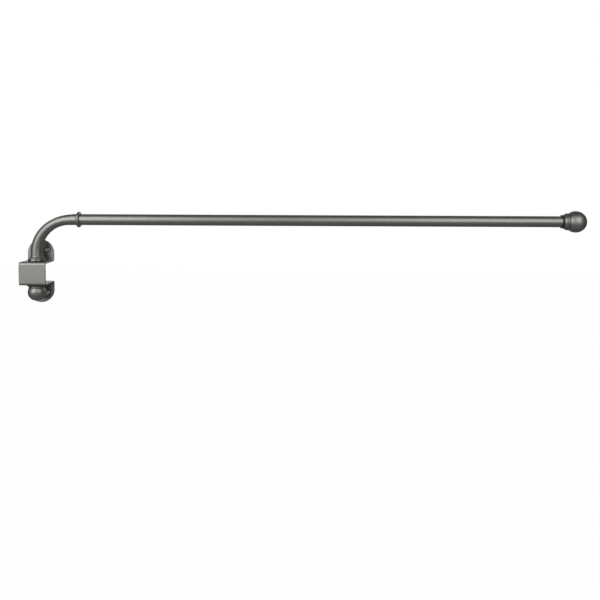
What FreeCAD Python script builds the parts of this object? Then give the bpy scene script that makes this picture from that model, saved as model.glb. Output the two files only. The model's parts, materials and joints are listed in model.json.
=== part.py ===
import FreeCAD, Part
import math
import os
import Sketcher

# Swing arm curtain rod: a folded wall bracket, a turned pivot, a bent elbow and a
# telescopic rod with a ball finial.
# Millimetres. The origin is the middle of the screw pattern on the wall plane.
# +X runs along the rod, +Y into the wall, +Z up. The pivot axis is vertical at X = 0.

SIZES = [
    ("strip_width", 39.5, "bracket strip, side to side"),
    ("strip_thickness", 2.5, "bracket strip, gauge"),
    ("strip_bend_radius", 1.0, "bracket strip, inside of each fold"),
    ("strip_edge_round", 1.0, "bracket strip, rounding of its long edges"),
    ("hat_height", 34.4, "bracket hat, over the two leaves"),
    ("hat_depth", 37.0, "bracket hat, wall to front face"),
    ("flange_reach", 30.7, "wall flange, from leaf to tip"),
    ("screw_spacing_across", 22.0, "wall screws, side to side"),
    ("screw_spacing_up", 66.0, "wall screws, top to bottom"),
    ("screw_hole_dia", 4.5, "wall screws, clearance hole"),
    ("screw_head_dia", 8.6, "wall screws, countersink"),
    ("pin_depth", 18.5, "pivot axis, out from the wall"),
    ("pin_dia", 8.0, "pivot stud"),
    ("pin_top_reach", 7.0, "pivot stud, length in the foot"),
    ("pin_bottom_reach", 17.0, "pivot stud, length in the ball nut"),
    ("running_gap", 0.05, "clearance of faces and bores that turn or slide"),
    ("fit_gap", 0.03, "clearance of pieces that are fixed in each other"),
    ("bush_sleeve_dia", 12.0, "bushes, sleeve"),
    ("bush_sleeve_past", 1.2, "bushes, sleeve past the leaf"),
    ("upper_bush_flange_dia", 24.6, "upper bush, flange"),
    ("lower_bush_flange_dia", 27.6, "lower bush, flange"),
    ("upper_bush_flange", 1.6, "upper bush, flange thickness"),
    ("lower_bush_flange", 2.5, "lower bush, flange thickness"),
    ("thrust_washer_dia", 24.6, "thrust washer"),
    ("thrust_washer_thickness", 1.3, "thrust washer"),
    ("foot_seat_dia", 18.0, "foot, raised seat under the rim"),
    ("foot_seat_height", 0.85, "foot, raised seat under the rim"),
    ("foot_rim_dia", 24.6, "foot, rim"),
    ("foot_rim_height", 1.5, "foot, rim"),
    ("foot_rim_round", 0.5, "foot, rounding of the rim"),
    ("foot_flare_height", 2.6, "foot, flare above the rim"),
    ("foot_flare_radius", 3.6, "foot, hollow curve of the flare"),
    ("foot_lip", 0.45, "foot, wall at its top edge"),
    ("foot_floor", 1.8, "foot, solid floor below the tube"),
    ("friction_washer_dia", 22.0, "friction washer"),
    ("friction_washer_thickness", 2.3, "friction washer"),
    ("knob_dia", 26.2, "ball nut"),
    ("knob_flat_rise", 7.3, "ball nut, from its middle up to the flat"),
    ("elbow_dia", 16.5, "elbow tube"),
    ("elbow_wall", 1.0, "elbow tube"),
    ("bend_radius", 49.0, "elbow tube, middle line of the bend"),
    ("leg_above_foot", 5.35, "elbow tube, straight leg from the foot to the bend"),
    ("run_to_collar", 12.65, "elbow tube, straight run from the bend to the collar"),
    ("collar_length", 4.4, "collar, foot to foot"),
    ("collar_crest", 2.2, "collar, left foot to crest"),
    ("collar_dia", 23.4, "collar, crest"),
    ("collar_crest_round", 1.5, "collar, rounding of the crest"),
    ("collar_foot_lip", 0.5, "collar, step at each foot"),
    ("spigot_setback", 1.1, "collar, from the bend to the spigot in the elbow"),
    ("rod_spigot_length", 20.0, "collar, spigot in the rod"),
    ("spigot_bore_dia", 8.0, "collar, bore"),
    ("grub_dia", 4.0, "collar screw"),
    ("grub_length", 3.2, "collar screw"),
    ("grub_socket_dia", 2.0, "collar screw, socket"),
    ("grub_socket_depth", 1.4, "collar screw, socket"),
    ("grub_distance", 9.0, "collar screw, from the collar's right foot"),
    ("tube_dia", 16.5, "rod tube"),
    ("tube_wall", 0.8, "rod tube"),
    ("tube_length", 716.8, "rod tube"),
    ("mouth_bush_length", 18.0, "mouth bush, sleeve"),
    ("mouth_bush_flange", 2.1, "mouth bush, flange thickness"),
    ("mouth_bush_flange_dia", 19.9, "mouth bush, flange"),
    ("extension_dia", 12.7, "extension tube"),
    ("extension_wall", 0.8, "extension tube"),
    ("extension_length", 460.0, "extension tube"),
    ("glide_length", 12.0, "glide bush"),
    ("glide_setback", 2.0, "glide bush, from the extension tube's inner end"),
    ("plug_length", 15.0, "extension plug"),
    ("stud_dia", 6.0, "finial stud"),
    ("stud_in_finial", 15.0, "finial stud, length in the finial"),
    ("cup_gap", 0.1, "finial cup, its mouth from the mouth bush when closed"),
    ("cup_mouth_dia", 20.2, "finial cup, mouth"),
    ("cup_mouth_to_crest", 5.6, "finial cup, mouth to crest"),
    ("cup_crest_dia", 25.7, "finial cup, crest"),
    ("cup_curve_radius", 14.0, "finial cup, curve from mouth to crest"),
    ("cup_crest_band", 0.9, "finial cup, width of the crest"),
    ("waist_dia", 22.6, "finial, groove before the ball"),
    ("waist_distance", 1.6, "finial, crest to groove"),
    ("ball_dia", 32.2, "finial, ball"),
    ("ball_from_mouth", 18.9, "finial, mouth of the cup to the middle of the ball"),
    ("extension_seat", 6.0, "finial, seat of the extension tube"),
]


class Size:
    """A length that carries its number and its spreadsheet expression together."""

    def __init__(self, number, text):
        self.number = number
        self.text = text

    @staticmethod
    def of(thing):
        if isinstance(thing, Size):
            return thing
        return Size(float(thing), repr(float(thing)))

    def joined(self, sign, other, number):
        return Size(number, f"({self.text} {sign} {other.text})")

    def __add__(self, other):
        other = Size.of(other)
        return self.joined("+", other, self.number + other.number)

    def __sub__(self, other):
        other = Size.of(other)
        return self.joined("-", other, self.number - other.number)

    def __rsub__(self, other):
        return Size.of(other) - self

    def __mul__(self, other):
        other = Size.of(other)
        return self.joined("*", other, self.number * other.number)

    def __rmul__(self, other):
        return self * other

    def __truediv__(self, other):
        other = Size.of(other)
        return self.joined("/", other, self.number / other.number)

    def __neg__(self):
        return Size(-self.number, f"(-1 * {self.text})")

    def root(self):
        return Size(math.sqrt(self.number), f"sqrt({self.text})")


def fill_sheet(doc):
    """Write the driving dimensions into a spreadsheet and return them by name."""
    sheet = doc.addObject("Spreadsheet::Sheet", "Sizes")
    named = {}
    for row, (alias, number, meaning) in enumerate(SIZES, start=1):
        sheet.set(f"A{row}", meaning)
        sheet.set(f"B{row}", str(number))
        sheet.setAlias(f"B{row}", alias)
        named[alias] = Size(number, f"Sizes.{alias}")
    return named


doc = FreeCAD.newDocument("swing_arm_curtain_rod")
size = fill_sheet(doc)
doc.recompute()

# Heights on the pivot axis, from the middle of the bracket.
leaf_top = size["hat_height"] / 2
washer_base = leaf_top + size["upper_bush_flange"] + size["running_gap"]
foot_base = washer_base + size["thrust_washer_thickness"]
rim_base = foot_base + size["foot_seat_height"]
rim_top = rim_base + size["foot_rim_height"]
foot_top = rim_top + size["foot_flare_height"]
tube_floor = foot_base + size["foot_floor"]
friction_top = -(leaf_top + size["lower_bush_flange"] + size["running_gap"])
knob_top = friction_top - size["friction_washer_thickness"]
knob_middle = knob_top - size["knob_flat_rise"]
pin_top = foot_base + size["pin_top_reach"]
pin_bottom = knob_top - size["pin_bottom_reach"]
bend_start = foot_top + size["leg_above_foot"]
rod_rise = bend_start + size["bend_radius"]

# Distances along the rod, from the pivot axis.
collar_start = size["bend_radius"] + size["run_to_collar"]
collar_end = collar_start + size["collar_length"]
tube_end = collar_end + size["tube_length"]
cup_mouth = tube_end + size["mouth_bush_flange"] + size["cup_gap"]
extension_end = cup_mouth + size["extension_seat"]
extension_start = extension_end - size["extension_length"]
ball_middle = cup_mouth + size["ball_from_mouth"]
stud_end = extension_end + size["stud_in_finial"]

# Radii that pieces share.
pin_radius = size["pin_dia"] / 2
pin_bore = pin_radius + size["running_gap"]
pin_seat = pin_radius + size["fit_gap"]
elbow_radius = size["elbow_dia"] / 2
elbow_bore = elbow_radius - size["elbow_wall"]
tube_radius = size["tube_dia"] / 2
tube_bore = tube_radius - size["tube_wall"]
extension_radius = size["extension_dia"] / 2
extension_bore = extension_radius - size["extension_wall"]
stud_radius = size["stud_dia"] / 2
stud_seat = stud_radius + size["fit_gap"]

ON_PIVOT = {"y": -size["pin_depth"]}
ON_ROD = {"y": -size["pin_depth"], "z": rod_rise}


def bind(thing, path, length):
    """Tie one property of an object to the spreadsheet."""
    length = Size.of(length)
    thing.setExpression(path, length.text)


def new_body(label, place):
    """Make the body of one sub-part and place it."""
    body = doc.addObject("PartDesign::Body", label)
    body.Label = label
    for axis, length in place.items():
        bind(body, f".Placement.Base.{axis}", length)
    return body


def new_sketch(body, name, role, offset=None):
    """Make a sketch on one of the body's own origin planes, lifted by an offset."""
    sketch = body.newObject("Sketcher::SketchObject", name)
    plane = next(o for o in body.Origin.OriginFeatures if o.Role == role)
    sketch.AttachmentSupport = [(plane, "")]
    sketch.MapMode = "FlatFace"
    if offset is not None:
        bind(sketch, ".AttachmentOffset.Base.z", offset)
    return sketch


def hold(sketch, kind, where, length):
    """Add one dimension to a sketch and tie it to the spreadsheet."""
    length = Size.of(length)
    index = sketch.addConstraint(Sketcher.Constraint(kind, *where, length.number))
    if "Sizes" in length.text:
        bind(sketch, f"Constraints[{index}]", length)


def arc_between(start, end, radius, turn):
    """Make the short arc from start to end; turn is 1 anticlockwise and -1 clockwise."""
    along = end - start
    side = FreeCAD.Vector(-along.y, along.x, 0)
    side.normalize()
    rise = math.sqrt(max(radius ** 2 - (along.Length / 2) ** 2, 0.0))
    centre = (start + end) / 2 + side * rise * turn
    first, last = (start, end) if turn > 0 else (end, start)
    angles = [math.atan2(p.y - centre.y, p.x - centre.x) for p in (first, last)]
    circle = Part.Circle(centre, FreeCAD.Vector(0, 0, 1), radius)
    return Part.ArcOfCircle(circle, *angles)


def draw(sketch, corners, closed=True):
    """Draw an outline whose corners are held by the spreadsheet.

    Each corner is (x, y) or (x, y, radius). A radius makes the edge that leaves the
    corner an arc: positive turns anticlockwise, negative clockwise.
    """
    corners = [[Size.of(part) for part in corner] for corner in corners]
    points = [FreeCAD.Vector(c[0].number, c[1].number, 0) for c in corners]
    count = len(corners) if closed else len(corners) - 1
    ends = []
    for i in range(count):
        start = points[i]
        end = points[(i + 1) % len(points)]
        if len(corners[i]) == 2:
            edge = sketch.addGeometry(Part.LineSegment(start, end), False)
            ends.append((edge, 1, 2))
            continue
        bend = corners[i][2]
        turn = 1 if bend.number > 0 else -1
        edge = sketch.addGeometry(arc_between(start, end, abs(bend.number), turn), False)
        ends.append((edge, 1, 2) if turn > 0 else (edge, 2, 1))
        hold(sketch, "Radius", (edge,), bend if turn > 0 else -bend)
    for i in range(count):
        edge, first, last = ends[i]
        hold(sketch, "DistanceX", (-1, 1, edge, first), corners[i][0])
        hold(sketch, "DistanceY", (-1, 1, edge, first), corners[i][1])
        if closed or i + 1 < count:
            follower = ends[(i + 1) % count]
            sketch.addConstraint(
                Sketcher.Constraint("Coincident", edge, last, follower[0], follower[1])
            )
    if not closed:
        edge, _, last = ends[-1]
        hold(sketch, "DistanceX", (-1, 1, edge, last), corners[-1][0])
        hold(sketch, "DistanceY", (-1, 1, edge, last), corners[-1][1])


def draw_circles(sketch, circles):
    """Draw circles given as (x, y, diameter), each held by the spreadsheet."""
    for x, y, diameter in circles:
        x, y, diameter = Size.of(x), Size.of(y), Size.of(diameter)
        centre = FreeCAD.Vector(x.number, y.number, 0)
        circle = Part.Circle(centre, FreeCAD.Vector(0, 0, 1), diameter.number / 2)
        edge = sketch.addGeometry(circle, False)
        hold(sketch, "Diameter", (edge,), diameter)
        hold(sketch, "DistanceX", (-1, 1, edge, 3), x)
        hold(sketch, "DistanceY", (-1, 1, edge, 3), y)


def turned(label, place, axis, corners):
    """Turn a piece on a lathe: axis V_Axis stands it up, H_Axis lays it along the rod."""
    body = new_body(label, place)
    sketch = new_sketch(body, f"{label}_profile", "XZ_Plane")
    draw(sketch, corners)
    turn = body.newObject("PartDesign::Revolution", f"{label}_turning")
    turn.Profile = sketch
    turn.ReferenceAxis = (sketch, [axis])
    turn.Angle = 360
    body.Tip = turn
    return body


def ring(label, place, axis, start, end, outer, bore):
    """Turn a plain ring or tube between two places on its axis."""
    if axis == "V_Axis":
        corners = [(bore, start), (outer, start), (outer, end), (bore, end)]
    else:
        corners = [(start, bore), (end, bore), (end, outer), (start, outer)]
    return turned(label, place, axis, corners)


def cut_through(body, name, sketch, reversed_cut=False, depth=None, both=False):
    """Cut a sketch out of a body: a set depth, or all the way to both sides."""
    before = body.Shape.Volume
    pocket = body.newObject("PartDesign::Pocket", name)
    pocket.Profile = sketch
    pocket.Reversed = reversed_cut
    if both:
        pocket.Type = "ThroughAll"
        pocket.SideType = "Symmetric"
    else:
        bind(pocket, ".Length", depth)
    body.Tip = pocket
    doc.recompute()
    if body.Shape.Volume > before - 0.1:
        raise RuntimeError(f"{name} cuts nothing")
    return pocket


def make_wall_bracket():
    """Fold the strip, cut its D-shaped ends, drill it and round its long edges."""
    body = new_body("wall_bracket", {})
    gauge = size["strip_thickness"]
    inner = size["strip_bend_radius"]
    outer = inner + gauge
    front = -size["hat_depth"]
    tip = leaf_top + size["flange_reach"]
    half = size["strip_width"] / 2
    root = -gauge - inner
    nose = front + outer

    upper = [
        (-gauge, tip),
        (-gauge, leaf_top + inner, -inner),
        (root, leaf_top),
        (nose, leaf_top, outer),
    ]
    outside = upper + [(front, leaf_top - outer)]
    outside += [
        (front, -leaf_top + outer, outer),
        (nose, -leaf_top),
        (root, -leaf_top, -inner),
        (-gauge, -leaf_top - inner),
        (-gauge, -tip),
    ]
    inside = [
        (0, -tip),
        (0, -leaf_top - inner, outer),
        (root, -leaf_top + gauge),
        (nose, -leaf_top + gauge, -inner),
        (front + gauge, -leaf_top + outer),
        (front + gauge, leaf_top - outer, -inner),
        (nose, leaf_top - gauge),
        (root, leaf_top - gauge, outer),
        (0, leaf_top + inner),
        (0, tip),
    ]
    section = new_sketch(body, "strip_section", "YZ_Plane")
    draw(section, outside + inside)
    strip = body.newObject("PartDesign::Pad", "folded_strip")
    strip.Profile = section
    strip.SideType = "Symmetric"
    bind(strip, ".Length", size["strip_width"])
    body.Tip = strip
    doc.recompute()

    shoulder = tip - half
    for side, name in ((1, "upper"), (-1, "lower")):
        margin = half + gauge
        ends = new_sketch(body, f"{name}_flange_end", "XZ_Plane")
        draw(ends, [
            (-half, side * shoulder, -side * half),
            (0, side * tip, -side * half),
            (half, side * shoulder),
            (margin, side * shoulder),
            (margin, side * (tip + gauge)),
            (-margin, side * (tip + gauge)),
            (-margin, side * shoulder),
        ])
        cut_through(body, f"{name}_flange_shape", ends, True, gauge * 2)

    pivot_holes = new_sketch(body, "pivot_hole_places", "XY_Plane")
    hole = size["bush_sleeve_dia"] + 2 * size["fit_gap"]
    draw_circles(pivot_holes, [(0, -size["pin_depth"], hole)])
    cut_through(body, "pivot_holes", pivot_holes, both=True)

    places = new_sketch(body, "screw_hole_places", "XZ_Plane", gauge)
    across = size["screw_spacing_across"] / 2
    up = size["screw_spacing_up"] / 2
    draw_circles(places, [
        (dx * across, dz * up, size["screw_hole_dia"]) for dx in (-1, 1) for dz in (-1, 1)
    ])
    doc.recompute()
    before = body.Shape.Volume
    holes = body.newObject("PartDesign::Hole", "screw_holes")
    holes.Profile = places
    bind(holes, ".Diameter", size["screw_hole_dia"])
    holes.HoleCutType = "Countersink"
    holes.HoleCutCustomValues = True
    bind(holes, ".HoleCutDiameter", size["screw_head_dia"])
    holes.HoleCutCountersinkAngle = 90
    holes.DepthType = "ThroughAll"
    body.Tip = holes
    doc.recompute()
    if body.Shape.Volume > before - 1:
        raise RuntimeError("screw_holes cut nothing")

    names = []
    for number, edge in enumerate(body.Shape.Edges, start=1):
        spots = [edge.valueAt(edge.getParameterByLength(edge.Length * k / 4)) for k in range(5)]
        on_side = all(abs(abs(spot.x) - half.number) < 0.01 for spot in spots)
        on_end = all(abs(spot.z) > shoulder.number - 0.01 for spot in spots)
        across_hole = edge.Curve.TypeId == "Part::GeomCircle" and edge.Length > 0.7 * half.number
        if on_side or (on_end and across_hole and len(edge.Vertexes) == 2):
            names.append(f"Edge{number}")
    rounding = body.newObject("PartDesign::Fillet", "long_edge_rounding")
    rounding.Base = (holes, names)
    bind(rounding, ".Radius", size["strip_edge_round"])
    body.Tip = rounding
    return body


def make_bush(label, side, flange_dia, flange_thickness):
    """Turn one flanged bush: side is 1 for the upper leaf and -1 for the lower."""
    inner_end = leaf_top - size["strip_thickness"] - size["bush_sleeve_past"]
    sleeve = size["bush_sleeve_dia"] / 2
    flange = flange_dia / 2
    crown = leaf_top + flange_thickness
    turned(label, ON_PIVOT, "V_Axis", [
        (pin_bore, side * inner_end),
        (sleeve, side * inner_end),
        (sleeve, side * leaf_top),
        (flange, side * leaf_top),
        (flange, side * crown),
        (pin_bore, side * crown),
    ])


def make_foot():
    """Turn the pivot foot: a raised seat, a rounded rim, a hollow flare, a tube socket."""
    seat = size["foot_seat_dia"] / 2
    rim = size["foot_rim_dia"] / 2
    ease = size["foot_rim_round"]
    socket = elbow_radius + size["fit_gap"]
    lip = socket + size["foot_lip"]
    turned("pivot_foot", ON_PIVOT, "V_Axis", [
        (pin_seat, foot_base),
        (seat, foot_base),
        (seat, rim_base),
        (rim - ease, rim_base, ease),
        (rim, rim_base + ease),
        (rim, rim_top - ease, ease),
        (rim - ease, rim_top, -size["foot_flare_radius"]),
        (lip, foot_top),
        (socket, foot_top),
        (socket, tube_floor),
        (pin_seat, tube_floor),
    ])


def make_knob():
    """Turn the ball nut: a ball with a flat on top and a blind bore for the stud."""
    ball = size["knob_dia"] / 2
    flat = (ball * ball - size["knob_flat_rise"] * size["knob_flat_rise"]).root()
    bore_floor = pin_bottom - size["running_gap"]
    turned("pivot_knob", ON_PIVOT, "V_Axis", [
        (0, bore_floor),
        (0, knob_middle - ball, ball),
        (ball, knob_middle, ball),
        (flat, knob_top),
        (pin_seat, knob_top),
        (pin_seat, bore_floor),
    ])


def make_elbow():
    """Sweep the elbow tube from its socket in the foot, round the bend, to the collar."""
    body = new_body("elbow_tube", ON_PIVOT)
    section = new_sketch(body, "elbow_section", "XY_Plane", tube_floor)
    draw_circles(section, [(0, 0, size["elbow_dia"]), (0, 0, elbow_bore * 2)])
    path = new_sketch(body, "elbow_path", "XZ_Plane")
    draw(path, [
        (0, tube_floor),
        (0, bend_start, -size["bend_radius"]),
        (size["bend_radius"], rod_rise),
        (collar_start, rod_rise),
    ], closed=False)
    doc.recompute()
    pipe = body.newObject("PartDesign::AdditivePipe", "elbow_sweep")
    pipe.Profile = section
    pipe.Spine = path
    body.Tip = pipe


def make_collar():
    """Turn the collar: a beaded ring with a spigot for the elbow and one for the rod."""
    start = collar_start
    spigot_end = size["bend_radius"] + size["spigot_setback"]
    crest = size["collar_dia"] / 2
    ease = size["collar_crest_round"]
    left_foot = elbow_radius + size["collar_foot_lip"]
    right_foot = tube_radius + size["collar_foot_lip"]
    left_spigot = elbow_bore - size["fit_gap"]
    right_spigot = tube_bore - size["fit_gap"]
    bore = size["spigot_bore_dia"] / 2
    body = turned("joint_collar", ON_ROD, "H_Axis", [
        (spigot_end, bore),
        (collar_end + size["rod_spigot_length"], bore),
        (collar_end + size["rod_spigot_length"], right_spigot),
        (collar_end, right_spigot),
        (collar_end, right_foot),
        (start + size["collar_crest"] + ease, crest - ease, ease),
        (start + size["collar_crest"], crest, ease * 5 / 4),
        (start + size["collar_crest"] - ease, crest - ease / 2),
        (start, left_foot),
        (start, left_spigot),
        (spigot_end, left_spigot),
    ])
    drill_grub_hole(body, 2 * size["fit_gap"])


def drill_grub_hole(body, extra):
    """Drill the collar screw's hole into the back of a piece."""
    doc.recompute()
    name = f"{body.Label}_screw_hole"
    place = new_sketch(body, f"{name}_place", "XZ_Plane")
    draw_circles(place, [(collar_end + size["grub_distance"], 0, size["grub_dia"] + extra)])
    cut_through(body, name, place, False, tube_radius * 2)


def make_grub_screw():
    """Make the collar screw, flush with the back of the rod tube, with its socket."""
    place = dict(ON_ROD)
    place["x"] = collar_end + size["grub_distance"]
    place["y"] = tube_radius - size["grub_length"] - size["pin_depth"]
    body = new_body("collar_screw", place)
    shank = new_sketch(body, "screw_shank_circle", "XZ_Plane")
    draw_circles(shank, [(0, 0, size["grub_dia"])])
    pad = body.newObject("PartDesign::Pad", "screw_shank")
    pad.Profile = shank
    pad.Reversed = True
    bind(pad, ".Length", size["grub_length"])
    body.Tip = pad
    doc.recompute()
    depth_left = size["grub_length"] - size["grub_socket_depth"]
    socket = new_sketch(body, "screw_socket_circle", "XZ_Plane", -depth_left)
    draw_circles(socket, [(0, 0, size["grub_socket_dia"])])
    cut_through(body, "screw_socket", socket, False, size["grub_length"])


def make_finial():
    """Turn the finial in one piece: a flared cup, a crest, a groove and a ball."""
    mouth = size["cup_mouth_dia"] / 2
    crest = size["cup_crest_dia"] / 2
    band = size["cup_crest_band"]
    waist = size["waist_dia"] / 2
    ball = size["ball_dia"] / 2
    crest_place = cup_mouth + size["cup_mouth_to_crest"]
    waist_place = crest_place + size["waist_distance"]
    ball_start = ball_middle - (ball * ball - waist * waist).root()
    seat = extension_radius + size["fit_gap"]
    turned("finial", ON_ROD, "H_Axis", [
        (cup_mouth, seat),
        (extension_end, seat),
        (extension_end, stud_seat),
        (stud_end, stud_seat),
        (stud_end, 0),
        (ball_middle + ball, 0, ball),
        (ball_middle, ball, ball),
        (ball_start, waist),
        (waist_place, waist),
        (crest_place + band, crest),
        (crest_place, crest, size["cup_curve_radius"]),
        (cup_mouth, mouth),
    ])


def make_sub_parts():
    """Make every sub-part of the rod."""
    make_wall_bracket()
    make_bush("upper_bush", 1, size["upper_bush_flange_dia"], size["upper_bush_flange"])
    make_bush("lower_bush", -1, size["lower_bush_flange_dia"], size["lower_bush_flange"])
    ring("thrust_washer", ON_PIVOT, "V_Axis", washer_base, foot_base,
         size["thrust_washer_dia"] / 2, pin_seat)
    make_foot()
    ring("friction_washer", ON_PIVOT, "V_Axis", knob_top, friction_top,
         size["friction_washer_dia"] / 2, pin_seat)
    make_knob()
    turned("pivot_stud", ON_PIVOT, "V_Axis", [
        (0, pin_bottom), (pin_radius, pin_bottom), (pin_radius, pin_top), (0, pin_top),
    ])
    make_elbow()
    make_collar()
    make_grub_screw()
    rod = ring("rod_tube", ON_ROD, "H_Axis", collar_end, tube_end,
               tube_radius, tube_bore)
    drill_grub_hole(rod, 2 * size["running_gap"])
    bush_bore = extension_radius + size["running_gap"]
    bush_start = tube_end - size["mouth_bush_length"]
    bush_end = tube_end + size["mouth_bush_flange"]
    bush_flange = size["mouth_bush_flange_dia"] / 2
    turned("mouth_bush", ON_ROD, "H_Axis", [
        (bush_start, bush_bore),
        (bush_end, bush_bore),
        (bush_end, bush_flange),
        (tube_end, bush_flange),
        (tube_end, tube_bore - size["fit_gap"]),
        (bush_start, tube_bore - size["fit_gap"]),
    ])
    ring("extension_tube", ON_ROD, "H_Axis", extension_start, extension_end,
         extension_radius, extension_bore)
    glide_start = extension_start + size["glide_setback"]
    ring("glide_bush", ON_ROD, "H_Axis", glide_start, glide_start + size["glide_length"],
         tube_bore - size["running_gap"], extension_radius + size["fit_gap"])
    plug_start = extension_end - size["plug_length"]
    ring("extension_plug", ON_ROD, "H_Axis", plug_start, extension_end,
         extension_bore - size["fit_gap"], stud_seat)
    turned("finial_stud", ON_ROD, "H_Axis", [
        (plug_start, 0), (stud_end, 0), (stud_end, stud_radius), (plug_start, stud_radius),
    ])
    make_finial()


def write_parts():
    """Check every object, then write each sub-part to its own file."""
    doc.recompute()
    broken = [o.Name for o in doc.Objects if {"Invalid", "Error"} & set(o.State)]
    if broken:
        raise RuntimeError(f"failed objects: {broken}")
    bodies = [o for o in doc.Objects if o.TypeId == "PartDesign::Body"]
    for body in bodies:
        shape = body.Shape
        if shape.isNull() or not shape.isValid() or len(shape.Solids) != 1:
            raise RuntimeError(f"{body.Label} is not one valid solid")
    os.makedirs("parts", exist_ok=True)
    for body in bodies:
        body.Shape.exportStep(f"parts/{body.Label}.step")
        box = body.Shape.BoundBox
        print(body.Label, round(body.Shape.Volume, 1), [
            round(v, 2) for v in (box.XMin, box.XMax, box.YMin, box.YMax, box.ZMin, box.ZMax)
        ])


make_sub_parts()
write_parts()
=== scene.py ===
import itertools
import json
import logging
import math
from dataclasses import dataclass, field
from enum import Enum
from typing import Any

import bpy
from mathutils import Matrix, Vector


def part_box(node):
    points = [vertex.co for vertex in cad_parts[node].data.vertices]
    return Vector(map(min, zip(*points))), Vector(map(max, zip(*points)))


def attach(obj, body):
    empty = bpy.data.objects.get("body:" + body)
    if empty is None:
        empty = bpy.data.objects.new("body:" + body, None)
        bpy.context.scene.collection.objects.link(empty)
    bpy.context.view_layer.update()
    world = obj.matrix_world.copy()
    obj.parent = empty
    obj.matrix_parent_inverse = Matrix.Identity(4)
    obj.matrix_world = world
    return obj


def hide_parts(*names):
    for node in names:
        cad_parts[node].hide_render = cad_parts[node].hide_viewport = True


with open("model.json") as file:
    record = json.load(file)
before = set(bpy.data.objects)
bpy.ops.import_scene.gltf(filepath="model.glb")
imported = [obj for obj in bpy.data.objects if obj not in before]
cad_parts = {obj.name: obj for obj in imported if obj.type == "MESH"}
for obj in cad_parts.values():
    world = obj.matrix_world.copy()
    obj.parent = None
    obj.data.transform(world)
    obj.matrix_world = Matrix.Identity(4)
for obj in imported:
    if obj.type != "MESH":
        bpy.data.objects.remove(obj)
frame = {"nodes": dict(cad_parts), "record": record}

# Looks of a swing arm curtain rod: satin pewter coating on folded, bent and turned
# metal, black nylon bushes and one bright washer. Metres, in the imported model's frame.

Colour = tuple[float, float, float]        # linear red, green and blue
Paint = tuple[float, float, float, float]  # a colour and its alpha
Place = tuple[float, float, float]         # X, Y and Z
Station = tuple[float, float]              # a place along the axis and a radius

MM = 0.001
WHITE: Paint = (1.0, 1.0, 1.0, 1.0)
SOFT_ANGLE = math.radians(32.0)            # faces that meet at less are shaded as one
SHARP_ANGLE = math.radians(40.0)           # edges sharper than this can be rounded
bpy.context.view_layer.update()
LOG = logging.getLogger("curtain_rod")


class Axis(Enum):
    """The line that a turned piece is turned about."""

    PIVOT = "vertical, through the bracket's leaves"
    ROD = "level, along the rod"


class Value:
    """One output of a shader node, which Python's own operators can work with."""

    def __init__(self, shader: "Shader", socket: bpy.types.NodeSocket | None) -> None:
        """Wrap a socket.

        Args:
            shader: the shader that the socket belongs to.
            socket: the output to wrap, or None on a node that ends the tree.
        """
        self.shader = shader
        self.socket = socket

    def _maths(self, operation: str, first: Any, second: Any) -> "Value":
        """Add one Math node.

        Args:
            operation: the node's operation.
            first: its first input, a number or a Value.
            second: its second input, a number or a Value.

        Returns:
            The node's result.
        """
        return self.shader.node(
            "ShaderNodeMath", {"operation": operation}, {0: first, 1: second}
        )

    def __add__(self, other: Any) -> "Value":
        """Add."""
        return self._maths("ADD", self, other)

    def __radd__(self, other: Any) -> "Value":
        """Add, from the right."""
        return self._maths("ADD", other, self)

    def __mul__(self, other: Any) -> "Value":
        """Multiply."""
        return self._maths("MULTIPLY", self, other)

    def __rmul__(self, other: Any) -> "Value":
        """Multiply, from the right."""
        return self._maths("MULTIPLY", other, self)


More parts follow.
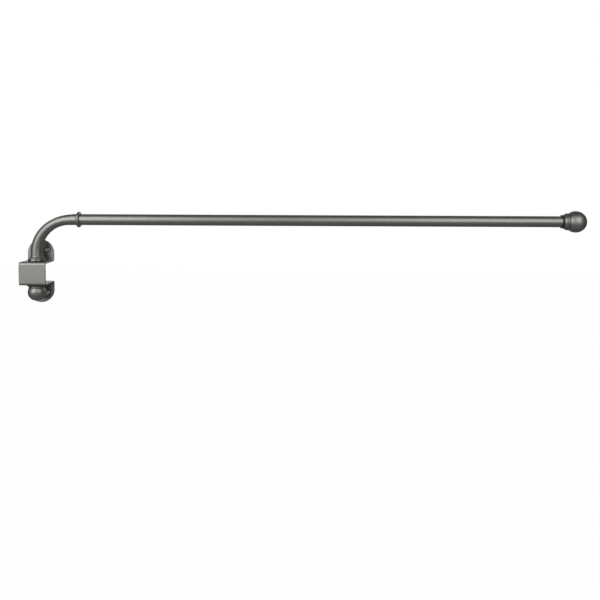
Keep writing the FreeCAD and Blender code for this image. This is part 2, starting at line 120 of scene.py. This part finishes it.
class Shader:
    """The nodes of a material or of the world, under construction."""

    def __init__(self, owner: bpy.types.Material | bpy.types.World) -> None:
        """Start with no nodes.

        Args:
            owner: the material or world that the nodes belong to.
        """
        owner.use_nodes = True
        self.owner = owner
        self.tree = owner.node_tree
        self.tree.nodes.clear()

    @classmethod
    def for_material(cls, name: str) -> "Shader":
        """Start a new material."""
        return cls(bpy.data.materials.new(name))

    def node(
        self,
        kind: str,
        settings: dict[str, Any] | None = None,
        inputs: dict[str | int, Any] | None = None,
        output: str | int = 0,
    ) -> Value:
        """Add one node.

        Args:
            kind: the node's type.
            settings: its properties, set first.
            inputs: its sockets by name or number, each a plain value or a Value.
            output: the output that is wanted.

        Returns:
            The wanted output.
        """
        made = self.tree.nodes.new(kind)
        for key, setting in (settings or {}).items():
            setattr(made, key, setting)
        for key, given in (inputs or {}).items():
            if isinstance(given, Value):
                self.tree.links.new(given.socket, made.inputs[key])
            else:
                made.inputs[key].default_value = given
        return Value(self, made.outputs[output] if made.outputs else None)

    def place(self) -> Value:
        """Return the Object coordinates."""
        return self.node("ShaderNodeTexCoord", output="Object")

    def noise(
        self, scale: float, detail: float, stretch: Place | None = None
    ) -> Value:
        """Add a noise pattern that lies fixed in the piece.

        Args:
            scale: waves a metre.
            detail: octaves.
            stretch: scale along X, Y and Z, if it isn't even.

        Returns:
            The pattern, from 0 to 1.
        """
        where = self.place()
        if stretch is not None:
            where = self.node(
                "ShaderNodeMapping", inputs={"Vector": where, "Scale": stretch}
            )
        return self.node(
            "ShaderNodeTexNoise",
            inputs={"Vector": where, "Scale": scale, "Detail": detail},
            output="Fac",
        )

    def tint(self, amount: Value, dark: Colour, light: Colour) -> Value:
        """Blend two colours.

        Args:
            amount: 0 for dark, 1 for light.
            dark: the first colour.
            light: the second colour.

        Returns:
            The blended colour.
        """
        return self.node(
            "ShaderNodeMix",
            {"data_type": "RGBA"},
            {"Factor": amount, 6: (*dark, 1.0), 7: (*light, 1.0)},
            output=2,
        )

    def bump(self, height: Value, strength: float, distance: float) -> Value:
        """Turn a height pattern into a normal.

        Args:
            height: the pattern.
            strength: 0 to 1.
            distance: the height that 1 stands for, in metres.

        Returns:
            The normal.
        """
        return self.node(
            "ShaderNodeBump",
            inputs={"Height": height, "Strength": strength, "Distance": distance},
        )

    def surface(self, inputs: dict[str, Any]) -> bpy.types.Material:
        """Finish the material with a Principled surface.

        Args:
            inputs: the surface's sockets.

        Returns:
            The finished material.
        """
        coat = self.node("ShaderNodeBsdfPrincipled", inputs=inputs)
        self.node("ShaderNodeOutputMaterial", inputs={"Surface": coat})
        return self.owner


@dataclass(frozen=True)
class PewterCoat:
    """Satin coating in dark pewter, with fine flake and a faint orange peel."""

    slot: str = "satin_pewter"
    shade: Colour = (0.285, 0.280, 0.265)
    light: Colour = (0.335, 0.329, 0.312)
    metal: float = 0.95
    roughness: float = 0.40
    roughness_spread: float = 0.10
    flake_scale: float = 5200.0
    flake_detail: float = 1.0
    flake_tint: float = 0.45
    flake_relief: float = 0.3
    cloud_scale: float = 55.0
    cloud_detail: float = 4.0
    cloud_tint: float = 0.55
    peel_scale: float = 950.0
    peel_detail: float = 2.0
    peel_relief: float = 0.7
    peel_strength: float = 0.5
    peel_height: float = 0.02 * MM

    def material(self) -> bpy.types.Material:
        """Build the coating.

        Returns:
            Its material.
        """
        shader = Shader.for_material(self.slot)
        flake = shader.noise(self.flake_scale, self.flake_detail)
        cloud = shader.noise(self.cloud_scale, self.cloud_detail)
        peel = shader.noise(self.peel_scale, self.peel_detail)
        speckle = flake * self.flake_tint + cloud * self.cloud_tint
        relief = peel * self.peel_relief + flake * self.flake_relief
        return shader.surface({
            "Base Color": shader.tint(speckle, self.shade, self.light),
            "Metallic": self.metal,
            "Roughness": self.roughness + speckle * self.roughness_spread,
            "Normal": shader.bump(relief, self.peel_strength, self.peel_height),
        })


@dataclass(frozen=True)
class BlackNylon:
    """Black moulded nylon with a fine matt texture."""

    slot: str = "black_nylon"
    shade: Colour = (0.010, 0.010, 0.010)
    light: Colour = (0.022, 0.022, 0.021)
    roughness: float = 0.42
    roughness_spread: float = 0.16
    grain_scale: float = 2600.0
    grain_detail: float = 3.0
    grain_strength: float = 0.4
    grain_height: float = 0.015 * MM

    def material(self) -> bpy.types.Material:
        """Build the moulded plastic.

        Returns:
            Its material.
        """
        shader = Shader.for_material(self.slot)
        grain = shader.noise(self.grain_scale, self.grain_detail)
        return shader.surface({
            "Base Color": shader.tint(grain, self.shade, self.light),
            "Roughness": self.roughness + grain * self.roughness_spread,
            "Normal": shader.bump(grain, self.grain_strength, self.grain_height),
        })


@dataclass(frozen=True)
class BrightSteel:
    """Bare turned steel, with fine tool marks."""

    slot: str = "bright_steel"
    shade: Colour = (0.46, 0.46, 0.45)
    light: Colour = (0.68, 0.68, 0.66)
    metal: float = 1.0
    roughness: float = 0.24
    roughness_spread: float = 0.14
    mark_scale: float = 3800.0
    mark_detail: float = 2.0
    mark_stretch: Place = (0.08, 0.08, 1.0)
    mark_strength: float = 0.3
    mark_height: float = 0.01 * MM

    def material(self) -> bpy.types.Material:
        """Build the steel.

        Returns:
            Its material.
        """
        shader = Shader.for_material(self.slot)
        marks = shader.noise(self.mark_scale, self.mark_detail, self.mark_stretch)
        return shader.surface({
            "Base Color": shader.tint(marks, self.shade, self.light),
            "Metallic": self.metal,
            "Roughness": self.roughness + marks * self.roughness_spread,
            "Normal": shader.bump(marks, self.mark_strength, self.mark_height),
        })


@dataclass
class Finishes:
    """The materials of the whole rod, each built once."""

    pewter: bpy.types.Material = field(
        default_factory=lambda: PewterCoat().material()
    )
    nylon: bpy.types.Material = field(
        default_factory=lambda: BlackNylon().material()
    )
    steel: bpy.types.Material = field(
        default_factory=lambda: BrightSteel().material()
    )

    def by_slot(self) -> dict[str, bpy.types.Material]:
        """Return the material of each of the record's slots."""
        return {
            "satin_pewter": self.pewter,
            "inner_tube_pewter": self.pewter,
            "black_nylon": self.nylon,
            "bright_steel": self.steel,
        }


def deselect() -> None:
    """Leave nothing selected, so that an operator acts on the new piece alone."""
    if bpy.context.object is not None and bpy.context.object.mode != "OBJECT":
        bpy.ops.object.mode_set(mode="OBJECT")
    bpy.ops.object.select_all(action="DESELECT")


def bow(
    middle: Station, radius: float, first: float, last: float, steps: int
) -> list[Station]:
    """Return the stations of a round part of a profile.

    Args:
        middle: the middle of the round.
        radius: the radius of the round.
        first: the first station's angle in degrees, 0 being onwards along the axis.
        last: the last station's angle.
        steps: how many steps the round has.

    Returns:
        The stations, the first and the last among them.
    """
    turns = [
        math.radians(first + (last - first) * step / steps)
        for step in range(steps + 1)
    ]
    return [
        (middle[0] + radius * math.cos(turn), middle[1] + radius * math.sin(turn))
        for turn in turns
    ]


@dataclass
class Lathe:
    """A lathe that draws a ring out along its axis, station by station.

    Points nearer than "weld" become one, so a ring of the radius "tip" closes to a
    point.
    """

    sides: int = 96
    tip: float = 0.004 * MM
    weld: float = 0.012 * MM

    def turn(
        self, name: str, stations: list[Station], line: Axis, closed: bool = True
    ) -> bpy.types.Object:
        """Turn one piece.

        Args:
            name: the piece's name.
            stations: its profile.
            line: the line that it is turned about.
            closed: whether the profile closes on itself or ends on the axis.

        Returns:
            The piece, with its place in its mesh.
        """
        deselect()
        ends = stations if closed else [self._on_axis(place) for place in stations]
        along, radius = ends[0]
        bpy.ops.mesh.primitive_circle_add(
            vertices=self.sides, radius=radius, location=(0.0, 0.0, along)
        )
        piece = bpy.context.object
        piece.name = name
        bpy.ops.object.mode_set(mode="EDIT")
        bpy.ops.mesh.select_all(action="SELECT")
        for station in ends[1:] + (ends[:1] if closed else []):
            step = (0.0, 0.0, station[0] - along)
            bpy.ops.mesh.extrude_edges_move(TRANSFORM_OT_translate={"value": step})
            ratio = station[1] / radius
            bpy.ops.transform.resize(
                value=(ratio, ratio, 1.0), center_override=(0.0, 0.0, station[0])
            )
            along, radius = station
        finish_mesh(self.weld)
        lay_on(piece, line)
        smooth(piece)
        return piece

    def _on_axis(self, station: Station) -> Station:
        """Give a station on the axis a radius small enough to be welded to a point."""
        return (station[0], max(station[1], self.tip))


def finish_mesh(weld: float) -> None:
    """Weld the mesh in edit mode, turn its faces outwards and leave edit mode.

    Args:
        weld: the distance at which points are one point.
    """
    bpy.ops.mesh.select_all(action="SELECT")
    bpy.ops.mesh.remove_doubles(threshold=weld)
    bpy.ops.mesh.normals_make_consistent(inside=False)
    bpy.ops.object.mode_set(mode="OBJECT")


def lay_on(piece: bpy.types.Object, line: Axis) -> None:
    """Move a piece from the world's vertical axis to its own line, in its mesh.

    Args:
        piece: the piece, which is selected alone.
        line: the line that it belongs on.
    """
    bpy.ops.object.transform_apply(location=True, rotation=True, scale=True)
    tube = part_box("rod_tube")
    level = (tube[0][1] + tube[1][1]) / 2
    if line is Axis.ROD:
        piece.rotation_euler = (0.0, math.pi / 2, 0.0)
        piece.location = (0.0, level, (tube[0][2] + tube[1][2]) / 2)
    else:
        piece.location = (0.0, level, 0.0)
    bpy.ops.object.transform_apply(location=True, rotation=True, scale=True)


def select_alone(piece: bpy.types.Object) -> None:
    """Select one piece and make it the active one.

    Args:
        piece: the piece.
    """
    deselect()
    piece.select_set(True)
    bpy.context.view_layer.objects.active = piece


def smooth(piece: bpy.types.Object) -> None:
    """Shade a piece smooth except across its sharp edges.

    Args:
        piece: the piece.
    """
    select_alone(piece)
    bpy.ops.object.shade_smooth_by_angle(angle=SOFT_ANGLE)


def apply_modifier(
    piece: bpy.types.Object, kind: str, settings: dict[str, Any]
) -> None:
    """Add a modifier to a piece and apply it.

    Args:
        piece: the piece.
        kind: the modifier's type.
        settings: its properties.
    """
    select_alone(piece)
    modifier = piece.modifiers.new(kind.lower(), kind)
    for key, setting in settings.items():
        setattr(modifier, key, setting)
    bpy.ops.object.modifier_apply(modifier=modifier.name)


def soften(piece: bpy.types.Object, width: float, steps: int = 3) -> None:
    """Round every sharp edge of a piece a little.

    Args:
        piece: the piece.
        width: how far the rounding reaches from the edge.
        steps: how many faces it has.
    """
    apply_modifier(piece, "BEVEL", {
        "width": width, "segments": steps, "limit_method": "ANGLE",
        "angle_limit": SHARP_ANGLE, "use_clamp_overlap": True,
    })
    smooth(piece)


def finish_piece(
    piece: bpy.types.Object,
    body: str,
    coat: bpy.types.Material,
    node: str,
) -> None:
    """Dress a piece, hang it on its body and let it stand for its CAD node.

    Args:
        piece: the finished mesh.
        body: the body that it moves with.
        coat: its material.
        node: the CAD node that it replaces.
    """
    piece.data.materials.clear()
    piece.data.materials.append(coat)
    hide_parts(node)
    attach(piece, body)
    LOG.info("made %s with %d faces", piece.name, len(piece.data.polygons))


@dataclass
class Pivot:
    """The turned pieces on the pivot axis: bushes, washers, foot and ball nut."""

    finishes: Finishes
    lathe: Lathe
    leaf_face: float = 17.2 * MM
    bush_sleeve: float = 6.0 * MM
    pin_bore: float = 4.05 * MM
    edge: float = 0.12 * MM
    seat_radius: float = 9.0 * MM
    seat_height: float = 0.85 * MM
    rim_height: float = 1.5 * MM
    rim_round: float = 0.30 * MM
    rim_steps: int = 5
    flare_height: float = 2.6 * MM
    flare_steps: int = 10
    foot_floor: float = 1.8 * MM
    tube_socket: float = 8.28 * MM
    foot_lip: float = 0.4 * MM
    knob_bore_depth: float = 17.05 * MM
    knob_steps: int = 40
    knob_edge: float = 0.5 * MM
    knob_edge_steps: int = 4

    def build(self) -> None:
        """Model and dress every piece on the axis."""
        self._bush("upper_bush", 1.0)
        self._bush("lower_bush", -1.0)
        self._washer("thrust_washer", self.finishes.steel)
        self._washer("friction_washer", self.finishes.pewter)
        self._foot()
        self._knob()

    def _bush(self, node: str, side: float) -> None:
        """Turn one flanged bush.

        Args:
            node: the CAD node that it stands for.
            side: 1 if its flange is on top, -1 if it is below.
        """
        low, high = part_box(node)
        flange = (high[0] - low[0]) / 2
        outer, inner = (high[2], low[2]) if side > 0 else (low[2], high[2])
        face = self.leaf_face * side
        piece = self.lathe.turn(f"turned_{node}", [
            (inner, self.pin_bore), (inner, self.bush_sleeve),
            (face, self.bush_sleeve), (face, flange),
            (outer, flange), (outer, self.pin_bore),
        ], Axis.PIVOT)
        soften(piece, self.edge)
        finish_piece(piece, "bracket", self.finishes.nylon, node)

    def _washer(self, node: str, coat: bpy.types.Material) -> None:
        """Turn one flat washer.

        Args:
            node: the CAD node that it stands for.
            coat: its material.
        """
        low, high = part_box(node)
        rim = (high[0] - low[0]) / 2
        piece = self.lathe.turn(f"turned_{node}", [
            (low[2], self.pin_bore), (low[2], rim),
            (high[2], rim), (high[2], self.pin_bore),
        ], Axis.PIVOT)
        soften(piece, self.edge)
        finish_piece(piece, "arm", coat, node)

    def _foot(self) -> None:
        """Turn the foot: a seat, a rounded rim and a quick flare up to the tube."""
        low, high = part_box("pivot_foot")
        base, rim = low[2], (high[0] - low[0]) / 2
        rim_base = base + self.seat_height
        rim_top = rim_base + self.rim_height
        ease = self.rim_round
        lip = self.tube_socket + self.foot_lip
        floor = base + self.foot_floor
        spread = rim - ease - lip
        flare = []
        for step in range(1, self.flare_steps + 1):
            turn = math.radians(90.0 * step / self.flare_steps)
            flare.append((
                rim_top + self.flare_height * (1.0 - math.cos(turn)),
                lip + spread * (1.0 - math.sin(turn)),
            ))
        piece = self.lathe.turn("turned_foot", [
            (base, self.pin_bore), (base, self.seat_radius),
            (rim_base, self.seat_radius),
            *bow((rim_base + ease, rim - ease), ease, 180.0, 90.0, self.rim_steps),
            *bow((rim_top - ease, rim - ease), ease, 90.0, 0.0, self.rim_steps),
            *flare, (high[2], self.tube_socket),
            (floor, self.tube_socket), (floor, self.pin_bore),
        ], Axis.PIVOT)
        finish_piece(piece, "arm", self.finishes.pewter, "pivot_foot")

    def _knob(self) -> None:
        """Turn the ball nut, with a flat on top and a blind bore for the stud."""
        low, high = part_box("pivot_knob")
        ball = (high[0] - low[0]) / 2
        middle = low[2] + ball
        cut = math.degrees(math.acos((high[2] - middle) / ball))
        floor = high[2] - self.knob_bore_depth
        piece = self.lathe.turn("turned_ball_nut", [
            (floor, 0.0), (floor, self.pin_bore), (high[2], self.pin_bore),
            *bow((middle, 0.0), ball, cut, 180.0, self.knob_steps),
        ], Axis.PIVOT, closed=False)
        soften(piece, self.knob_edge, self.knob_edge_steps)
        finish_piece(piece, "arm", self.finishes.pewter, "pivot_knob")


@dataclass
class Elbow:
    """The bent tube, straight at both ends and pressed flatter outside its bend.

    The pressing takes at most the share "pressed" off the tube's width in the plane
    of the bend. It peaks later in the bend the larger "late" is, is fuller the
    smaller "fullness" is, and ends "steps_past" rings after the bend.
    """

    finishes: Finishes
    lathe: Lathe
    wall: float = 1.0 * MM
    bend_radius: float = 49.0 * MM
    pressed: float = 0.11
    late: float = 1.65
    fullness: float = 0.85
    bend_steps: int = 40
    steps_past: int = 3

    def build(self) -> None:
        """Model the tube straight, press it, bend it and dress it."""
        low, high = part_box("elbow_tube")
        radius = (high[1] - low[1]) / 2
        bend_start = high[2] - radius - self.bend_radius
        leg = bend_start - low[2]
        arc = self.bend_radius * math.pi / 2
        run = high[0] - self.bend_radius
        count = self.bend_steps + self.steps_past
        steps = [arc * step / self.bend_steps for step in range(count + 1)]
        route = [-leg, *steps, arc + run]
        piece = self._straight_tube(route, radius, arc)
        length = leg + arc + run
        apply_modifier(piece, "SIMPLE_DEFORM", {
            "deform_method": "BEND", "deform_axis": "Y", "angle": math.pi / 2,
            "limits": (leg / length, (leg + arc) / length),
        })
        piece.location = (0.0, (low[1] + high[1]) / 2, bend_start)
        select_alone(piece)
        bpy.ops.object.transform_apply(location=True, rotation=True, scale=True)
        smooth(piece)
        finish_piece(piece, "arm", self.finishes.pewter, "elbow_tube")

    def _straight_tube(
        self, route: list[float], radius: float, arc: float
    ) -> bpy.types.Object:
        """Draw the tube up the vertical axis and back down its bore, and press it.

        Args:
            route: the heights of its rings, the bend starting at 0.
            radius: its outer radius.
            arc: the length of the bend.

        Returns:
            The straight tube.
        """
        deselect()
        bpy.ops.mesh.primitive_circle_add(
            vertices=self.lathe.sides, radius=radius, location=(0.0, 0.0, route[0])
        )
        piece = bpy.context.object
        piece.name = "bent_tube"
        bpy.ops.object.mode_set(mode="EDIT")
        bpy.ops.mesh.select_all(action="SELECT")
        inner = 1.0 - self.wall / radius
        outside = [(z, 1.0) for z in route[1:]]
        bore = [(z, inner) for z in reversed(route)]
        last_z, last_size, last_press = route[0], 1.0, 1.0
        for z, size in [*outside, *bore, (route[0], 1.0)]:
            bpy.ops.mesh.extrude_edges_move(
                TRANSFORM_OT_translate={"value": (0.0, 0.0, z - last_z)}
            )
            grow = size / last_size
            bpy.ops.transform.resize(
                value=(grow, grow, 1.0), center_override=(0.0, 0.0, z)
            )
            press = 1.0 - self.pressed * self._share(z / arc)
            squeeze = press / last_press
            bpy.ops.transform.resize(
                value=(squeeze, 1.0, 1.0), center_override=(radius, 0.0, z)
            )
            last_z, last_size, last_press = z, size, press
        finish_mesh(self.lathe.weld)
        bpy.ops.object.transform_apply(location=True, rotation=True, scale=True)
        return piece

    def _share(self, part: float) -> float:
        """Return how much of the pressing a place on the tube gets.

        Args:
            part: the place, 0 at the start of the bend and 1 at its end.

        Returns:
            Its share, which rises from 0 to 1 and falls back past the bend.
        """
        reach = part / (1.0 + self.steps_past / self.bend_steps)
        wave = math.sin(math.pi * min(max(reach, 0.0), 1.0) ** self.late)
        return max(wave, 0.0) ** self.fullness


@dataclass
class Collar:
    """The beaded collar between the elbow and the rod."""

    finishes: Finishes
    lathe: Lathe
    bead_width: float = 4.4 * MM
    bead_steps: int = 16
    rod_spigot: float = 20.0 * MM
    spigot_bore: float = 4.0 * MM
    elbow_bore: float = 7.22 * MM
    rod_bore: float = 7.42 * MM
    step: float = 0.5 * MM

    def build(self) -> None:
        """Turn the collar and dress it."""
        low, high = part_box("joint_collar")
        crest = (high[1] - low[1]) / 2
        end = high[0] - self.rod_spigot
        start = end - self.bead_width
        half = self.bead_width / 2
        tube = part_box("rod_tube")
        foot = (tube[1][1] - tube[0][1]) / 2 + self.step
        piece = self.lathe.turn("turned_collar", [
            (low[0], self.spigot_bore), (high[0], self.spigot_bore),
            (high[0], self.rod_bore), (end, self.rod_bore), (end, foot),
            *bow((start + half, crest - half), half, 0.0, 180.0, self.bead_steps),
            (start, foot), (start, self.elbow_bore), (low[0], self.elbow_bore),
        ], Axis.ROD)
        finish_piece(piece, "arm", self.finishes.pewter, "joint_collar")


@dataclass
class Finial:
    """The turned finial: a flared cup, a fine groove, a bead, a waist and a ball.

    Places are measured from the mouth, and "turn" marks an angle in degrees, 0 being
    onwards along the rod.
    """

    finishes: Finishes
    lathe: Lathe
    mouth_radius: float = 10.1 * MM
    mouth_round: float = 0.3 * MM
    mouth_last_turn: float = 110.0
    mouth_steps: int = 4
    lip: float = 0.45 * MM
    recess: float = 0.6 * MM
    tube_seat: float = 6.38 * MM
    tube_seat_depth: float = 6.0 * MM
    stud_seat: float = 3.03 * MM
    stud_depth: float = 15.0 * MM
    cup_place: float = 0.42 * MM
    cup_radius: float = 11.85 * MM
    cup_swell: float = 0.28 * MM
    cup_steps: int = 12
    groove_place: float = 3.9 * MM
    groove_width: float = 0.4 * MM
    groove_radius: float = 10.9 * MM
    bead_place: float = 5.6 * MM
    bead_round: float = 1.3 * MM
    bead_radius: float = 12.85 * MM
    bead_first_turn: float = 165.0
    bead_last_turn: float = 12.0
    bead_steps: int = 14
    waist_place: float = 7.35 * MM
    waist_width: float = 0.5 * MM
    waist_radius: float = 10.3 * MM
    ball_start: float = 11.7 * MM
    ball_radius: float = 16.1 * MM
    ball_steps: int = 48

    def build(self) -> None:
        """Turn the finial and dress it."""
        low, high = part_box("finial")
        mouth, end = low[0], high[0]
        middle = end - self.ball_radius
        seat_end = mouth + self.tube_seat_depth
        stud_end = seat_end + self.stud_depth
        floor = mouth + self.recess
        inside = self.mouth_radius - self.lip
        groove = mouth + self.groove_place
        waist = mouth + self.waist_place
        start = 180.0 - math.degrees(math.asin(self.ball_start / self.ball_radius))
        piece = self.lathe.turn("turned_finial", [
            (stud_end, 0.0), (stud_end, self.stud_seat), (seat_end, self.stud_seat),
            (seat_end, self.tube_seat), (floor, self.tube_seat),
            (floor, inside), (mouth, inside),
            *bow(
                (mouth + self.mouth_round, self.mouth_radius - self.mouth_round),
                self.mouth_round, 180.0, self.mouth_last_turn, self.mouth_steps,
            ),
            *self._cup(mouth),
            (groove, self.groove_radius),
            (groove + self.groove_width, self.groove_radius),
            *bow(
                (mouth + self.bead_place, self.bead_radius - self.bead_round),
                self.bead_round, self.bead_first_turn, self.bead_last_turn,
                self.bead_steps,
            ),
            (waist, self.waist_radius), (waist + self.waist_width, self.waist_radius),
            *bow((middle, 0.0), self.ball_radius, start, 0.0, self.ball_steps),
        ], Axis.ROD, closed=False)
        finish_piece(
            piece, "extension", self.finishes.pewter, "finial"
        )

    def _cup(self, mouth: float) -> list[Station]:
        """Return the cup's swelling side.

        Args:
            mouth: where the finial's mouth is along the rod.

        Returns:
            The stations from the mouth's rounding to the groove before the bead.
        """
        first = (mouth + self.cup_place, self.mouth_radius)
        last = (mouth + self.groove_place, self.cup_radius)
        side = []
        for step in range(self.cup_steps + 1):
            part = step / self.cup_steps
            lift = self.cup_swell * math.sin(math.pi * part)
            side.append((
                first[0] + (last[0] - first[0]) * part,
                first[1] + (last[1] - first[1]) * part + lift,
            ))
        return side


def dress_nodes(finishes: Finishes) -> None:
    """Give every CAD node the material of its slot.

    Args:
        finishes: the rod's materials.
    """
    materials = finishes.by_slot()
    for part in frame["record"]["subparts"]:
        node = frame["nodes"][part["node"]]
        node.data.materials.clear()
        node.data.materials.append(materials[part["material_slot"]])
        LOG.info("dressed %s in %s", part["node"], part["material_slot"])


@dataclass
class Softbox:
    """One rectangular studio lamp, its sizes in metres and its power in watts."""

    name: str
    place: Place
    aim: Place
    width: float
    height: float
    power: float

    def hang(self) -> None:
        """Add the lamp and point it at its aim."""
        lamp = bpy.data.lights.new(self.name, "AREA")
        lamp.shape = "RECTANGLE"
        lamp.size = self.width
        lamp.size_y = self.height
        lamp.energy = self.power
        holder = bpy.data.objects.new(self.name, lamp)
        bpy.context.scene.collection.objects.link(holder)
        toward = Vector(self.aim) - Vector(self.place)
        holder.location = self.place
        holder.rotation_euler = toward.to_track_quat("-Z", "Y").to_euler()


@dataclass
class Studio:
    """Floor, lamps, white surroundings and the camera.

    The camera's numbers are pixels of the photograph: "axis_px" is the column of the
    pivot, "rod_px" and "horizon_px" are the rows of the rod and of the horizon, and
    "tube_scale" is the length of a pixel at the rod.
    """

    image_px: float = 600.0
    focal_px: float = 660.0
    sensor: float = 36.0
    near_clip: float = 0.01
    tube_scale: float = 1.488 * MM
    axis_px: float = 35.72
    horizon_px: float = 180.0
    rod_px: float = 220.6
    pitch: float = math.radians(2.6)
    roll: float = math.radians(0.26)
    room_light: float = 0.03
    gloss_share: float = 0.05
    floor_size: float = 8.0
    floor_middle: float = 0.4
    floor_drop: float = 0.55
    floor_white: float = 0.985
    paper: Paint = (0.26, 0.26, 0.26, 1.0)
    hole_across: float = 22.0 * MM
    hole_up: float = 66.0 * MM
    card_radius: float = 3.2 * MM
    card_sides: int = 32
    card_gap: float = 0.2 * MM
    # the cards' grey is painted shade: the shaded wall seen through the screw holes
    hole_shade_grey: Paint = (0.55, 0.55, 0.55, 1.0)

    def build(self) -> None:
        """Set up the studio around the rod."""
        bpy.context.scene.view_settings.view_transform = "Standard"
        self._camera()
        self._surroundings()
        self._floor()
        self._painted_shade_cards()
        for box in self._softboxes():
            box.hang()

    def _camera(self) -> None:
        """Place the camera as the photograph was taken."""
        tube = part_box("rod_tube")
        rod_y = (tube[0][1] + tube[1][1]) / 2
        rod_z = (tube[0][2] + tube[1][2]) / 2
        place = Vector((
            (self.image_px / 2 - self.axis_px) * self.tube_scale,
            rod_y - self.focal_px * self.tube_scale,
            rod_z + (self.rod_px - self.horizon_px) * self.tube_scale,
        ))
        data = bpy.data.cameras.new("photo_camera")
        data.sensor_width = self.sensor
        data.lens = self.focal_px / self.image_px * self.sensor
        # The shift brings the horizon back to its row after the camera's pitch.
        middle_px = self.horizon_px + self.focal_px * math.tan(self.pitch)
        data.shift_y = (middle_px - self.image_px / 2) / self.image_px
        data.clip_start = self.near_clip
        camera = bpy.data.objects.new("photo_camera", data)
        turn = Matrix.Rotation(math.pi / 2 - self.pitch, 4, "X")
        turn = turn @ Matrix.Rotation(self.roll, 4, "Z")
        camera.matrix_world = Matrix.Translation(place) @ turn
        bpy.context.scene.collection.objects.link(camera)
        bpy.context.scene.camera = camera

    def _surroundings(self) -> None:
        """Make the world white to the camera and through glass, but a faint light."""
        world = bpy.data.worlds.new("studio")
        bpy.context.scene.world = world
        shader = Shader(world)
        white, room = (
            shader.node(
                "ShaderNodeBackground", inputs={"Color": WHITE, "Strength": strength}
            )
            for strength in (1.0, self.room_light)
        )
        mixed = shader.node(
            "ShaderNodeMixShader", inputs={0: self._seen(shader), 1: room, 2: white}
        )
        shader.node("ShaderNodeOutputWorld", inputs={"Surface": mixed})

    def _seen(self, shader: Shader) -> Value:
        """Return how much of the white surroundings a ray sees.

        Args:
            shader: the shader to add the Light Path nodes to.

        Returns:
            1 for the camera and through glass, and a small share in gloss.
        """
        kinds = [
            shader.node("ShaderNodeLightPath", output=f"Is {kind} Ray")
            for kind in ("Camera", "Transmission", "Glossy")
        ]
        return kinds[0] + kinds[1] + kinds[2] * self.gloss_share

    def _floor(self) -> None:
        """Lay the pale floor, white to the camera but for the rod's soft shadow."""
        deselect()
        bpy.ops.mesh.primitive_plane_add(
            size=self.floor_size, location=(self.floor_middle, 0.0, -self.floor_drop)
        )
        floor = bpy.context.object
        floor.name = "floor"
        shader = Shader.for_material("floor")
        paper = shader.node("ShaderNodeBsdfDiffuse", inputs={"Color": self.paper})
        white = shader.node("ShaderNodeEmission", inputs={"Color": WHITE})
        mixed = shader.node(
            "ShaderNodeMixShader",
            inputs={0: self._seen(shader) * self.floor_white, 1: paper, 2: white},
        )
        shader.node("ShaderNodeOutputMaterial", inputs={"Surface": mixed})
        floor.data.materials.append(shader.owner)

    def _painted_shade_cards(self) -> None:
        """Hang a grey card behind each screw hole, clear from the back; its grey is
        painted shade, for the shaded wall seen through the hole.
        """
        shader = Shader.for_material("painted_hole_shade_card")
        # The card's grey is painted shade, standing for the wall in shade behind each
        # hole.
        paint = shader.node("ShaderNodeBsdfDiffuse", inputs={"Color": self.hole_shade_grey})
        clear = shader.node("ShaderNodeBsdfTransparent")
        back = shader.node("ShaderNodeNewGeometry", output="Backfacing")
        mixed = shader.node("ShaderNodeMixShader", inputs={0: back, 1: paint, 2: clear})
        shader.node("ShaderNodeOutputMaterial", inputs={"Surface": mixed})
        for across, up in itertools.product((-0.5, 0.5), repeat=2):
            deselect()
            bpy.ops.mesh.primitive_circle_add(
                vertices=self.card_sides, radius=self.card_radius, fill_type="NGON",
                location=(across * self.hole_across, self.card_gap, up * self.hole_up),
                rotation=(math.pi / 2, 0.0, 0.0),
            )
            card = bpy.context.object
            card.name = "painted_hole_shade_card"
            card.data.materials.append(shader.owner)

    @staticmethod
    def _softboxes() -> list[Softbox]:
        """Return the lamps: one each side of the camera, one behind the rod."""
        return [
            Softbox(
                "left_box", place=(-0.50, -0.96, 0.54), aim=(-0.02, 0.0, 0.06),
                width=1.1, height=1.4, power=12.6,
            ),
            Softbox(
                "right_box", place=(1.06, -1.00, 0.50), aim=(0.80, 0.0, 0.06),
                width=1.05, height=1.15, power=7.7,
            ),
            Softbox(
                "back_box", place=(0.10, 1.35, 0.45), aim=(0.10, 0.0, 0.03),
                width=3.0, height=1.2, power=10.0,
            ),
        ]


def main() -> None:
    """Build the sub-assemblies in order, then the studio."""
    logging.basicConfig(level=logging.INFO, format="%(name)s: %(message)s")
    finishes = Finishes()
    dress_nodes(finishes)
    lathe = Lathe()
    for assembly in (
        Pivot(finishes, lathe), Elbow(finishes, lathe), Collar(finishes, lathe),
        Finial(finishes, lathe),
    ):
        assembly.build()
        LOG.info("built %s", type(assembly).__name__)
    Studio().build()


if __name__ == "__main__":
    main()
